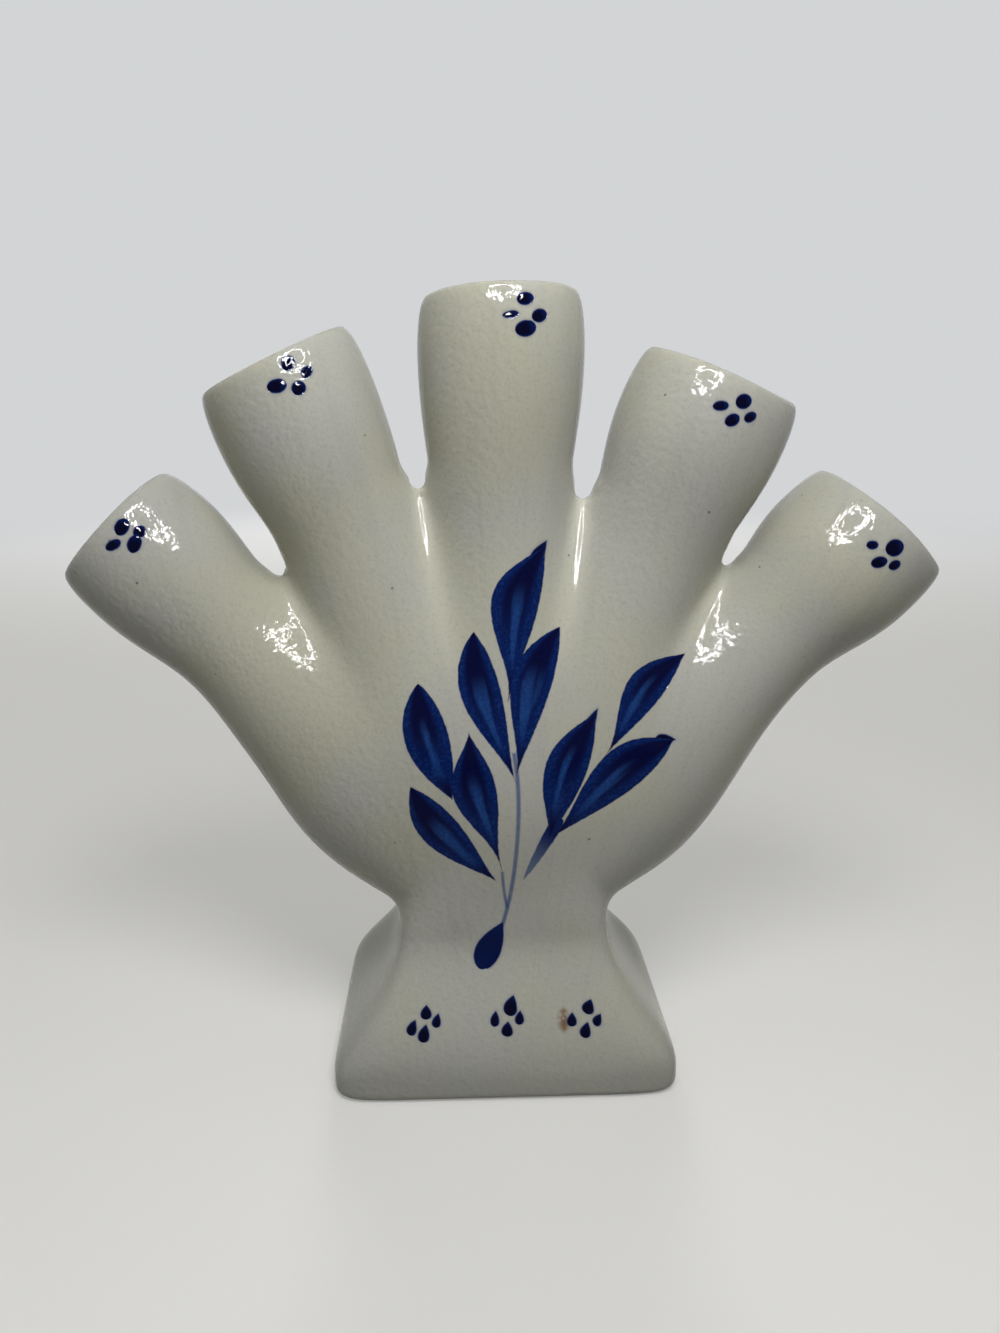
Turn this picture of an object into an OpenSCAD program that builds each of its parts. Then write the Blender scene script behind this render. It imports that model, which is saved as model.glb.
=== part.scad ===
// Quintal vase: five trumpet fingers fan out of a hollow palm on a square foot.
// Millimetres, +Z up, origin on the table under the middle of the foot.
// The decorated front faces -Y and the fan spreads along X.

/* [Foot] */
// Width of the foot on the table, along X
foot_w = 83; // [72:0.5:92]
// Depth of the foot on the table, along Y
foot_d = 66; // [58:0.5:76]
// Height of the waist, where the foot ends and the body begins
waist_h = 36; // [32:0.5:41]
// Width of the waist
waist_w = 51.5; // [48:0.5:57]
// Depth of the waist
waist_d = 42.5; // [39:0.5:47]
// Height of the upright band round the bottom of the foot
foot_band = 5; // [3:0.5:7]
// Skew of the cove on the left and right, 1 is an even S and less flares lower
side_skew = 0.6; // [0.5:0.05:1]
// Skew of the cove on the front and back
front_skew = 1.05; // [0.85:0.05:1.4]
// Softness of the turn from the band into the cove
cove_soft = 0.12; // [0.08:0.01:0.2]
// Rounding of the bottom edge
foot_round = 2; // [1:0.25:2.5]
// Squareness of the foot's outline, 2 is an ellipse
foot_square = 8; // [6:0.5:10]
// Squareness of the waist's outline
waist_square = 6.2; // [5:0.1:7.5]
// Thickness of the foot's wall at the bottom
foot_wall = 6.5; // [5.5:0.5:8]
// Thickness of the floor slab that closes the foot
floor_t = 5; // [3.5:0.5:7]
// Width of the ledge that the floor slab seats against
floor_ledge = 1.5; // [1:0.25:2.5]
// Clearance round the edge of the floor slab
floor_gap = 0.1; // [0.05:0.05:0.3]

/* [Fan] */
// Height of the point where the five axes meet, above the waist
fan_rise = 5; // [3:0.5:7]
// Tilt of the two inner fingers from upright
inner_tilt = 22; // [20.5:0.5:24]
// Angle from an inner finger to its outer neighbour
outer_step = 22.5; // [21:0.5:24]
// Length of the middle finger from the fan centre to its lip
middle_len = 142; // [132:0.5:152]
// Length of the left inner finger from the fan centre to its lip
left_len = 137; // [127:0.5:147]
// Length of the right inner finger from the fan centre to its lip
right_len = 133.5; // [125:0.5:144]
// Length of each outer finger from the fan centre to its lip
outer_len = 127.5; // [119:0.5:137]

/* [Fingers] */
// Radius of every tube at the fan centre
root_r = 15; // [13.5:0.25:16.5]
// Squareness of every tube at the fan centre, 2 is round
root_square = 3.3; // [2.6:0.1:4]
// Radius of the palm's three tubes at the belly
palm_belly_r = 19; // [17.5:0.25:20.5]
// Half depth of the palm's three tubes at the belly
palm_belly_d = 21; // [19:0.25:22.5]
// Radius of the outer tubes at the belly
outer_belly_r = 25.25; // [23.5:0.25:26.5]
// Half depth of the outer tubes at the belly
outer_belly_d = 20.5; // [19:0.25:22]
// Distance of the belly from the fan centre
belly_s = 38; // [32:1:44]
// Radius of every finger at its neck
neck_r = 16; // [15:0.1:17]
// Distance of the neck from the fan centre
neck_s = 90.5; // [85:0.5:95]
// Radius of the middle finger's mouth
middle_mouth_r = 18.75; // [17.5:0.25:20.5]
// Radius of an inner finger's mouth
inner_mouth_r = 18.5; // [17.25:0.25:20]
// Radius of an outer finger's mouth
outer_mouth_r = 18.25; // [17:0.25:19.75]
// Thickness of the wall
wall = 4.5; // [3.5:0.25:5.5]
// Thickness of the rounded lip
lip_t = 3.25; // [2.5:0.25:4]

/* [Webs] */
// Softness of the webs between the middle and inner fingers
palm_web = 4.4; // [3.4:0.1:5.4]
// Softness of the webs between the inner and outer fingers
outer_web = 3.9; // [3:0.1:4.8]
// Length of the collar from the highest web to the joint with a finger
collar = 6; // [4:0.5:8]
// Distance from the fan centre at which the fingers start to part
palm_s = 22; // [19:0.5:25]

/* [Hidden] */

clay = [0.72, 0.71, 0.67];
clay_foot = [0.66, 0.66, 0.63];
clay_raw = [0.62, 0.57, 0.50];

// Counts of points: round the foot, up its cove, and on each rounding
foot_sides = 48;
cove_rows = 9;
round_rows = 4;
inside_rows = 6;
// Counts of rows on the body: waist to palm, palm to web, web to joint
root_rows = 7;
web_rows = 10;
collar_rows = 4;
// Columns across each finger's share of the body, left to right
columns = [11, 8, 8, 8, 11];
// Points along a finger's profile, over its lip and round it
profile_rows = 10;
lip_rows = 6;
finger_sides = 64;
// Share of a thin web's half that is solid
web_share = 0.9;
// Step for slopes, and first guess and count of steps for finding the surface from the heart
probe = 0.01;
heart_guess = 10.5;
seek_steps = 10;

fan_centre = [0, 0, waist_h + fan_rise];
outer_tilt = inner_tilt + outer_step;
tilts = [-outer_tilt, -inner_tilt, 0, inner_tilt, outer_tilt];
lengths = [outer_len, left_len, middle_len, right_len, outer_len];
mouth_radii = [outer_mouth_r, inner_mouth_r, middle_mouth_r, inner_mouth_r, outer_mouth_r];
belly_radii = [outer_belly_r, palm_belly_r, palm_belly_r, palm_belly_r, outer_belly_r];
belly_depths = [outer_belly_d, palm_belly_d, palm_belly_d, palm_belly_d, outer_belly_d];
last = len(tilts) - 1;

function mix(a, b, t) = a + (b - a) * t;
function ease(t) = (1 - cos(180 * min(max(t, 0), 1))) / 2;
function sum(list) = list * [for (x = list) 1];
function unit(v) = v / norm(v);

// A finger's own directions: along its axis, and across it in the plane of the fan
function along(tilt) = [sin(tilt), 0, cos(tilt)];
function across(tilt) = [cos(tilt), 0, -sin(tilt)];

// Radius of finger i at distance s from the fan centre
function finger_r(i, s) =
    s < belly_s ? mix(root_r, belly_radii[i], ease(s / belly_s)) :
    s < neck_s ? mix(belly_radii[i], neck_r, ease((s - belly_s) / (neck_s - belly_s))) :
    mix(neck_r, mouth_radii[i], ease((s - neck_s) / (lengths[i] - neck_s)));

// Flatness of finger i: its depth over its width, which is 1 at the root and the neck
function finger_flat(i, s) =
    mix(1, belly_depths[i] / belly_radii[i],
        ease(s / belly_s) * ease((neck_s - s) / (neck_s - belly_s)));

// Squareness of a finger's section: square at the root, round from the belly up
function finger_square(s) = mix(root_square, 2, ease(s / belly_s));

// Distance of a point from the wall of finger i, negative inside
function from_finger(i, p) =
    let (q = p - fan_centre,
         s = max(q * along(tilts[i]), 0),
         off = q - s * along(tilts[i]),
         wide = norm([off[0], off[2]]),
         deep = abs(off[1]) / finger_flat(i, s),
         square = finger_square(s))
    pow(pow(wide, square) + pow(deep, square), 1 / square) - finger_r(i, s);

// Smooth least value: rounds the groove where two walls meet
function soft_min(list, softness) = -softness * ln(sum([for (d = list) exp(-d / softness)]));

// The body's skin is where this is zero: three tubes blend into a palm, and the outer two join it
function from_skin(p) =
    let (d = [for (i = [0 : last]) from_finger(i, p)])
    soft_min([soft_min([d[1], d[2], d[3]], palm_web), d[0], d[last]], outer_web);

function outward(p) =
    unit([for (e = [[1, 0, 0], [0, 1, 0], [0, 0, 1]])
        from_skin(p + probe * e) - from_skin(p - probe * e)]);

// Distance from a point inside the body to the skin, in a given direction
function reach(from, way, guess, steps = seek_steps) =
    steps == 0 ? guess :
    let (here = from_skin(from + guess * way), ahead = from_skin(from + (guess + probe) * way))
    reach(from, way, guess - here * probe / (ahead - here), steps - 1);

// Valley j lies between finger j and finger j + 1, and ends at the web between them
function valley_way(j) = along((tilts[j] + tilts[j + 1]) / 2);
function valley_half(j) = (tilts[j + 1] - tilts[j]) / 2;
webs = [for (j = [0 : last - 1]) reach(fan_centre, valley_way(j), neck_s) * cos(valley_half(j))];
joints = [for (i = [0 : last])
    max(webs[max(i - 1, 0)] + collar, webs[min(i, last - 1)] + collar, neck_s)];

// Rows on the body, counted from the waist
web_row = root_rows + web_rows;
joint_row = web_row + collar_rows;

// Distance along the axis of finger i, at its edge on valley j, in a row above the palm
function edge_s(i, j, row) =
    row <= web_row ? mix(palm_s, webs[j], sin(90 * (row - root_rows) / web_rows)) :
    mix(webs[j], joints[i], (row - web_row) / collar_rows);

// Point on valley j in a row from the palm to the web
function valley_point(j, row) =
    let (base = fan_centre + valley_way(j) * edge_s(j, j, row) / cos(valley_half(j)))
    row == web_row ? base : base - [0, reach(base, [0, -1, 0], neck_r), 0];

// Angle round the axis at which finger i meets valley j, from the plane of the fan
function edge_angle(i, j, row) =
    row >= web_row ? 0 :
    let (p = valley_point(j, row) - fan_centre)
    atan2(-p[1], abs(p * across(tilts[i])));

// Distance from the axis of finger i to the skin, which turns into a plain circle up the collar
function skin_r(i, row, s, from, way) =
    row == joint_row ? finger_r(i, s) :
    let (blended = reach(from, way, finger_r(i, s) - wall))
    mix(blended, finger_r(i, s), ease((row - web_row) / collar_rows));

// One row of finger i's share of the skin, left to right, above the palm
function finger_row(i, row) =
    let (left_s = edge_s(i, max(i - 1, 0), row),
         right_s = edge_s(i, min(i, last - 1), row),
         left_angle = i > 0 ? edge_angle(i, i - 1, row) : 0,
         right_angle = i < last ? edge_angle(i, i, row) : 0)
    [for (u = [0 : columns[i]])
        let (t = u / columns[i],
             s = mix(left_s, right_s, t),
             angle = mix(180 - left_angle, right_angle, t),
             way = cos(angle) * across(tilts[i]) - [0, sin(angle), 0],
             from = fan_centre + s * along(tilts[i]))
        u == columns[i] && i < last && row <= web_row ? valley_point(i, row) :
        u == 0 && i > 0 && row <= web_row ? valley_point(i - 1, row) :
        from + way * skin_r(i, row, s, from, way)];

// Outline of the foot or waist: distance from its middle at an angle
function outline_r(angle, half_w, half_d, square) =
    pow(pow(abs(cos(angle)) / half_w, square) + pow(abs(sin(angle)) / half_d, square), -1 / square);
function outline_point(angle, half_w, half_d, square, z) =
    let (r = outline_r(angle, half_w, half_d, square))
    [r * cos(angle), r * sin(angle), z];
function waist_point(angle, inset = 0) =
    outline_point(angle, waist_w / 2 - inset, waist_d / 2 - inset, waist_square, waist_h);

// Below the palm the skin draws in to the waist: rays from the heart of the vase follow it down
heart = fan_centre + [0, 0, palm_s / 2];
function waist_below(p) = waist_point(atan2(p[1], p[0]));
function climb(p) = atan2(p[2] - heart[2], norm([p[0], p[1]]));
function ray(p, angle) =
    let (flat = unit([p[0], p[1]])) [flat[0] * cos(angle), flat[1] * cos(angle), sin(angle)];
function skin_reach(way) = reach(heart, way, heart_guess);
function root_point(p, row) =
    let (foot = waist_below(p),
         t = row / root_rows,
         way = ray(p, mix(climb(foot), climb(p), t)),
         pull = norm(foot - heart) - skin_reach(unit(foot - heart)))
    row == 0 ? foot : heart + way * (skin_reach(way) + pull * pow(1 - t, 2));

// All rows of finger i's share of the body's outer skin, waist to joint
function finger_share(i) =
    let (palm = finger_row(i, root_rows))
    [for (row = [0 : joint_row])
        row < root_rows ? [for (p = palm) root_point(p, row)] :
        row == root_rows ? palm : finger_row(i, row)];

// The inner skin lies one wall inside the outer one, and short of the seam where a web is thin
function inner_point(i, p, row) =
    row == 0 ? waist_point(atan2(p[1], p[0]), wall) :
    row == joint_row ?
        let (middle = fan_centre + joints[i] * along(tilts[i])) p - wall * unit(p - middle) :
    let (way = outward(p),
         depth = way[1] < -probe ? min(wall, web_share * p[1] / way[1]) : wall)
    p - depth * way;

// Place of a point in the list of points; neighbours share the points on their valley
share_sizes = [for (n = columns) (n + 1) * (joint_row + 1)];
function share_start(i) = i == 0 ? 0 : share_start(i - 1) + share_sizes[i - 1];
function place(i, row, u) =
    u == 0 && i > 0 && row <= web_row ? place(i - 1, row, columns[i - 1]) :
    share_start(i) + row * (columns[i] + 1) + u;
skin_size = sum(share_sizes);

function quad(a, b, c, d) = [[a, b, c], [a, c, d]];
function skin_faces(i) =
    [for (row = [0 : joint_row - 1], u = [0 : columns[i] - 1])
        let (a = place(i, row, u), b = place(i, row, u + 1),
             c = place(i, row + 1, u + 1), d = place(i, row + 1, u),
             k = skin_size)
        each concat(quad(a, d, c, b), quad(k + a, k + b, k + c, k + d))];
// Flat faces that close the wall at the waist and at the joint with a finger
function end_faces(i) =
    [for (u = [0 : columns[i] - 1], row = [0, joint_row])
        let (a = place(i, row, u), b = place(i, row, u + 1), k = skin_size)
        each row == 0 ? quad(a, b, k + b, k + a) : quad(b, a, k + a, k + b)];
// Flat faces on the seam between the front and the back
function seam_faces(i) =
    [for (u = [0, columns[i]], row = [0 : joint_row - 1])
        let (outside = (u == 0 && i == 0) || (u > 0 && i == last),
             a = place(i, row, u), b = place(i, row + 1, u), k = skin_size)
        if (outside || row >= web_row)
            each u == 0 ? quad(b, a, k + a, k + b) : quad(a, b, k + b, k + a)];

// Front half of the body, from the waist to the five joints
module body_half() {
    shares = [for (i = [0 : last]) finger_share(i)];
    outer = [for (i = [0 : last], row = shares[i], p = row) p];
    inner = [for (i = [0 : last], row = [0 : joint_row], p = shares[i][row]) inner_point(i, p, row)];
    faces = [for (i = [0 : last]) each concat(skin_faces(i), end_faces(i), seam_faces(i))];
    polyhedron(concat(outer, inner), faces);
}

// Spread of the foot at height z: 1 at the table, 0 at the waist; a low skew makes it flare low
function skewed(t, skew) =
    (pow(t + cove_soft, skew) - pow(cove_soft, skew)) / (pow(1 + cove_soft, skew) - pow(cove_soft, skew));
function spread(z, skew) =
    1 - ease(skewed(max(z - foot_band, 0) / (waist_h - foot_band), skew));
function foot_loop(z, inset) =
    let (t = spread(z, side_skew),
         half_w = mix(waist_w, foot_w, t) / 2 - inset,
         half_d = mix(waist_d, foot_d, spread(z, front_skew)) / 2 - inset,
         square = mix(waist_square, foot_square, t))
    [for (angle = foot_angles) outline_point(angle, half_w, half_d, square, z)];
// Angles bunch together at the corners of the foot, half a step off its axes
foot_angles = [for (k = [0 : foot_sides - 1])
    let (turn = 360 * (k + 0.5) / foot_sides, c = cos(turn), s = sin(turn), power = 2 / foot_square)
    atan2(sign(s) * foot_d * pow(abs(s), power), sign(c) * foot_w * pow(abs(c), power))];
seat_inset = foot_wall - floor_ledge;
function foot_inset(z) = mix(wall, foot_wall, spread(z, side_skew));

// Closed skin through a ring of loops, each loop a list of points
module ring_loft(loops) {
    rows = len(loops);
    sides = len(loops[0]);
    faces = [for (row = [0 : rows - 1], k = [0 : sides - 1])
        let (a = row * sides + k, b = row * sides + (k + 1) % sides,
             above = ((row + 1) % rows) * sides)
        each quad(a, above + k, above + (k + 1) % sides, b)];
    polyhedron([for (loop = loops, p = loop) p], faces);
}

module foot() {
    rounding = [for (k = [0 : round_rows]) 90 * k / round_rows];
    round_loops = [for (angle = rounding)
        let (loop = foot_loop(0, foot_round * (1 - sin(angle))))
        [for (p = loop) [p[0], p[1], foot_round * (1 - cos(angle))]]];
    cove_loops = [for (k = [0 : cove_rows]) foot_loop(mix(foot_band, waist_h, k / cove_rows), 0)];
    inside_loops = [for (k = [0 : inside_rows])
        let (z = mix(waist_h, floor_t, k / inside_rows)) foot_loop(z, foot_inset(z))];
    seat = foot_loop(0, seat_inset);
    seat_top = [for (p = seat) [p[0], p[1], floor_t]];
    color(clay_foot)
        ring_loft(concat(round_loops, cove_loops, inside_loops, [seat_top, seat]));
}

module foot_floor() {
    color(clay_raw)
        linear_extrude(floor_t)
            polygon([for (p = foot_loop(0, seat_inset + floor_gap)) [p[0], p[1]]]);
}

module body_front() {
    color(clay)
        body_half();
}

module body_back() {
    color(clay)
        mirror([0, 1, 0])
            body_half();
}

// Finger i above its joint: a thrown tube that flares to a rounded lip
module finger(i) {
    lip_r = lip_t / 2;
    top = lengths[i] - lip_r;
    steps = [for (k = [0 : profile_rows]) k / profile_rows];
    outer = [for (t = steps) let (s = mix(joints[i], top, t)) [finger_r(i, s), s]];
    inner = [for (t = steps) let (s = mix(top, joints[i], t))
        [finger_r(i, s) - mix(lip_t, wall, ease(t)), s]];
    lip = [for (k = [1 : lip_rows - 1]) let (angle = 180 * k / lip_rows)
        [finger_r(i, top) - lip_r + lip_r * cos(angle), top + lip_r * sin(angle)]];
    color(clay)
        translate(fan_centre)
            rotate([0, tilts[i], 0])
                rotate_extrude($fn = finger_sides)
                    polygon(concat(outer, lip, inner));
}

foot();
foot_floor();
body_front();
body_back();
finger(0);  // finger_far_left
finger(1);  // finger_left
finger(2);  // finger_middle
finger(3);  // finger_right
finger(4);  // finger_far_right
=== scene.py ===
"""Looks of the quintal vase: salt-glazed stoneware painted in cobalt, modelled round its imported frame."""
import math

import bmesh
import bpy
import numpy as np
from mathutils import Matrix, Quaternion, Vector


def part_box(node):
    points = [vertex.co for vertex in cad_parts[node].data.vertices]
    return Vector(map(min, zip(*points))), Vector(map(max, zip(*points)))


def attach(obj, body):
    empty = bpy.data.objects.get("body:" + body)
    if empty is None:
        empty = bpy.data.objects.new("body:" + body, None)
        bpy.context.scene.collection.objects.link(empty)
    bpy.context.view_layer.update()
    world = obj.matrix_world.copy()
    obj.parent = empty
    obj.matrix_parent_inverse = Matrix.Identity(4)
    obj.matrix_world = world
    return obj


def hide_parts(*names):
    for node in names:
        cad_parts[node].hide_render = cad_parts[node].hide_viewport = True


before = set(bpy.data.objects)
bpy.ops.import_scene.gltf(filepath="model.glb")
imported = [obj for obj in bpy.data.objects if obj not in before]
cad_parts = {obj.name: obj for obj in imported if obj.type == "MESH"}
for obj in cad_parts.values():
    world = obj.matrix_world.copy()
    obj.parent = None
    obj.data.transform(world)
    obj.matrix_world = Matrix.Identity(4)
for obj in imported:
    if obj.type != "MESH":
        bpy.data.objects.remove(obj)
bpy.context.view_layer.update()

# Sizes of the vase in millimetres, front towards -Y, from the frame where it gives them
MM = 0.001
foot_low, foot_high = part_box("foot")
FOOT_W = (foot_high.x - foot_low.x) / MM
FOOT_D = (foot_high.y - foot_low.y) / MM
WAIST_H = foot_high.z / MM
FLOOR_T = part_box("foot_floor")[1].z / MM
WAIST_W, WAIST_D = 51.5, 42.5
# Upright band at the bottom of the foot, and the rounding of its edge
FOOT_BAND, FOOT_ROUND = 5.0, 2.0
# How low the foot flares at its sides and at its front, and how softly the flare starts
SIDE_SKEW, FRONT_SKEW, COVE_SOFT = 0.6, 1.05, 0.12
# How square outlines are: a plain ellipse, the foot, the waist and the roots of the fingers
ELLIPSE, FOOT_SQUARE, WAIST_SQUARE, ROOT_SQUARE = 2.0, 11.0, 6.2, 3.3
# Walls: the foot's at its bottom, the ledge in it that holds its floor, the body's and the lip's
FOOT_WALL, FLOOR_LEDGE = 6.5, 1.5
WALL, LIP_T = 4.5, 3.25
# The lip: how far its rounding reaches down the outside and the inside, and how far in it leans
LIP_FALL, LIP_TURN, LIP_IN = 12.0, 1.4, 2.4

# The five fingers from left to right, as the potter threw them: lean in degrees, length from the
# centre of the fan, radii from root to mouth, and half depth of the belly
FINGERS = ["far_left", "left", "middle", "right", "far_right"]
LAST = len(FINGERS) - 1
TILTS = [-44.5, -22.0, -0.2, 22.1, 44.6]
LENGTHS = [127.6, 136.8, 141.9, 133.4, 127.1]
ROOT_R = 15.0
BELLY_R = [25.25, 19.0, 19.0, 19.0, 25.25]
BELLY_D = [20.5, 21.0, 21.0, 21.0, 20.5]
NECK_R = [16.0, 15.6, 15.55, 15.95, 16.0]
MOUTH_R = [18.4, 19.4, 19.1, 19.8, 20.0]
# Distances of belly and neck from the centre of the fan
BELLY_S, NECK_S = 38.0, 90.5
# Softness of the webs among the middle three fingers, and between these and the outer two
PALM_WEB, OUTER_WEB = 4.4, 3.9
# A finger's joint over the higher web beside it, and where the palm starts on the fingers' axes
COLLAR, PALM_S = 7.5, 22.0
# Centre of the fan, where the fingers' axes meet over the waist, and the middle of the palm's root
FAN_RISE = 5.0
FAN = np.array([0.0, 0.0, WAIST_H + FAN_RISE])
HEART = FAN + [0.0, 0.0, PALM_S / 2]

# How far each rim rises over its true length: on average, more to its right and more to the front
RIMS = [
    (0.3, 0.3, -0.5),
    (0.85, 1.05, -0.75),
    (-0.55, 0.45, 1.45),
    (0.85, 0.0, -0.85),
    (1.3, 1.2, -0.6),
]

# Counts of faces: columns across half of each finger, and rows up the vase
COLUMNS = [33, 24, 24, 24, 33]
ROOT_ROWS, WEB_ROWS, COLLAR_ROWS = 14, 36, 14
FINGER_ROWS, LIP_ROWS = 24, 8
COVE_ROWS, BAND_ROWS, ROUND_ROWS, INSIDE_ROWS = 28, 3, 6, 10
# Steps taken to find the skin, and the small distance over which its slope is felt
SEEK_STEPS, PROBE = 16, 0.01
# Points closer than this are one, and edges sharper than this cosine stay sharp
WELD, SHARP = 0.02, 0.75
# The round at the bottom of each gap between fingers, how far its middle lies over the web, and how
# crisp it is
WEB_ROUND, WEB_RISE, WEB_CRISP = 1.9, 1.8, 4
# How far the outside wavers from the true form, and the share of the finer marks in it
UNEVEN, MARK_SHARE = 0.22, 0.6
# Lengths of broad dents and finer throwing marks across, in depth and up, and where the dents start
DENT_X, DENT_Y, DENT_Z = 9.5, 11.0, 12.5
MARK_X, MARK_Y, MARK_Z = 5.7, 8.0, 7.3
DENT_START_X, DENT_START_Z = 0.8, 0.4
# Heights between which the glaze starts to pool in the valleys
POOL_LOW, POOL_HIGH = 85.0, 118.0
Y_AXIS = np.array([0.0, 1.0, 0.0])


def mix(a, b, t):
    """From a to b as t goes from 0 to 1."""
    return a + (b - a) * t


def ease(t):
    """From 0 to 1 with a soft start and a soft end."""
    return (1 - np.cos(np.pi * np.clip(t, 0, 1))) / 2


def unit(v):
    """Vectors brought to a length of 1."""
    return v / np.linalg.norm(v, axis=-1, keepdims=True)


def along(tilt):
    """Direction of an axis that leans by tilt degrees in the plane of the fan."""
    return np.array([math.sin(math.radians(tilt)), 0.0, math.cos(math.radians(tilt))])


def across(tilt):
    """Direction to the right of that axis, in the plane of the fan."""
    return np.array([math.cos(math.radians(tilt)), 0.0, -math.sin(math.radians(tilt))])


def finger_r(i, s):
    """Radius of finger i at distance s from the centre of the fan."""
    belly = mix(ROOT_R, BELLY_R[i], ease(s / BELLY_S))
    neck = mix(BELLY_R[i], NECK_R[i], ease((s - BELLY_S) / (NECK_S - BELLY_S)))
    mouth = mix(NECK_R[i], MOUTH_R[i], ease((s - NECK_S) / (LENGTHS[i] - LIP_FALL - NECK_S)))
    return np.where(s < BELLY_S, belly, np.where(s < NECK_S, neck, mouth))


def from_finger(i, p):
    """Distance of points from the wall of finger i, negative inside."""
    q = p - FAN
    s = np.maximum(q @ along(TILTS[i]), 0)
    off = q - s[..., None] * along(TILTS[i])
    flat = mix(1, BELLY_D[i] / BELLY_R[i], ease(s / BELLY_S) * ease((NECK_S - s) / (NECK_S - BELLY_S)))
    wide = np.hypot(off[..., 0], off[..., 2])
    deep = np.abs(off[..., 1]) / flat
    square = mix(ROOT_SQUARE, ELLIPSE, ease(s / BELLY_S))
    return (wide ** square + deep ** square) ** (1 / square) - finger_r(i, s)


def soft_min(distances, softness):
    """The least of some distances, blended where they are nearly equal."""
    return -softness * np.log(sum(np.exp(-d / softness) for d in distances))


def from_skin(p):
    """Zero on the body's skin: three tubes blend into a palm, and the outer two join it."""
    d = [from_finger(i, p) for i in range(LAST + 1)]
    return soft_min([soft_min(d[1:LAST], PALM_WEB), d[0], d[LAST]], OUTER_WEB)


def pooling(p):
    """How deep a point lies in a valley between fingers, 0 to about 1."""
    d = [from_finger(i, p) for i in range(LAST + 1)]
    return (np.min(d, axis=0) - from_skin(p)) / (PALM_WEB * math.log(2))


def outward(p):
    """Direction straight out of the skin at points on it."""
    steps = PROBE * np.eye(3)
    return unit(np.stack([from_skin(p + e) - from_skin(p - e) for e in steps], axis=-1))


def reach(start, way, guess):
    """Distance from points inside the body to the skin, each in its own direction."""
    for _ in range(SEEK_STEPS):
        here = from_skin(start + guess[..., None] * way)
        ahead = from_skin(start + (guess + PROBE)[..., None] * way)
        guess = guess - here * PROBE / (ahead - here)
    return guess


# Valley j lies between finger j and finger j + 1, and ends at the web between them
VALLEY_WAY = [along((TILTS[j] + TILTS[j + 1]) / 2) for j in range(LAST)]
VALLEY_COS = [math.cos(math.radians((TILTS[j + 1] - TILTS[j]) / 2)) for j in range(LAST)]
WEBS = [float(reach(FAN, VALLEY_WAY[j], np.array(NECK_S))) * VALLEY_COS[j] for j in range(LAST)]
JOINTS = [max(WEBS[max(i - 1, 0)], WEBS[min(i, LAST - 1)]) + COLLAR for i in range(LAST + 1)]
ROWS = np.arange(WEB_ROWS + COLLAR_ROWS + 1)


def edge_s(i, j):
    """Distances along finger i's axis at its edge on valley j, palm to joint."""
    to_web = mix(PALM_S, WEBS[j], np.sin(np.pi / 2 * ROWS / WEB_ROWS))
    to_joint = mix(WEBS[j], JOINTS[i], (ROWS - WEB_ROWS) / COLLAR_ROWS)
    return np.where(ROWS <= WEB_ROWS, to_web, to_joint)


def valley(j):
    """Points down the front of valley j, palm to web."""
    base = FAN + VALLEY_WAY[j] * (edge_s(j, j)[:WEB_ROWS + 1, None] / VALLEY_COS[j])
    depth = reach(base, -Y_AXIS, np.full(len(base), NECK_R[j]))
    depth[-1] = 0
    return base - depth[:, None] * Y_AXIS


def edge_angle(i, j):
    """Angles round finger i's axis at which it meets valley j, from the plane of the fan."""
    p = valley(j) - FAN
    angles = np.zeros(len(ROWS))
    angles[:WEB_ROWS] = np.arctan2(-p[:-1, 1], np.abs(p[:-1] @ across(TILTS[i])))
    return angles


def palm_and_fingers(i):
    """Finger i's share of the front skin above the palm: rows by columns by xyz."""
    t = np.linspace(0, 1, COLUMNS[i] + 1)
    left = edge_angle(i, i - 1) if i > 0 else np.zeros(len(ROWS))
    right = edge_angle(i, i) if i < LAST else np.zeros(len(ROWS))
    s = mix(edge_s(i, max(i - 1, 0))[:, None], edge_s(i, min(i, LAST - 1))[:, None], t)
    angle = mix(np.pi - left[:, None], right[:, None], t)
    way = np.cos(angle)[..., None] * across(TILTS[i]) - np.sin(angle)[..., None] * Y_AXIS
    start = FAN + s[..., None] * along(TILTS[i])
    plain = finger_r(i, s)
    turn_round = ease((ROWS - WEB_ROWS) / COLLAR_ROWS)[:, None]
    skin = start + way * mix(reach(start, way, plain), plain, turn_round)[..., None]
    if i > 0:
        skin[:WEB_ROWS + 1, 0] = valley(i - 1)
    if i < LAST:
        skin[:WEB_ROWS + 1, -1] = valley(i)
    return skin


def outline(angle, half_w, half_d, square):
    """Foot or waist outline: distance from the middle at an angle."""
    x = np.abs(np.cos(angle)) / half_w
    y = np.abs(np.sin(angle)) / half_d
    return (x ** square + y ** square) ** (-1 / square)


def ring(angle, radius, z):
    """Points at height z, at angles and distances from the upright middle."""
    return np.stack([radius * np.cos(angle), radius * np.sin(angle), np.full_like(angle, z)], axis=-1)


def waist(angle, inset=0.0):
    """Points on the waist, where the body stands on the foot."""
    return ring(angle, outline(angle, WAIST_W / 2 - inset, WAIST_D / 2 - inset, WAIST_SQUARE), WAIST_H)


def climb(p):
    """Angle of points over the level of the palm's root, seen from its middle."""
    return np.arctan2(p[..., 2] - HEART[2], np.hypot(p[..., 0], p[..., 1]))


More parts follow.
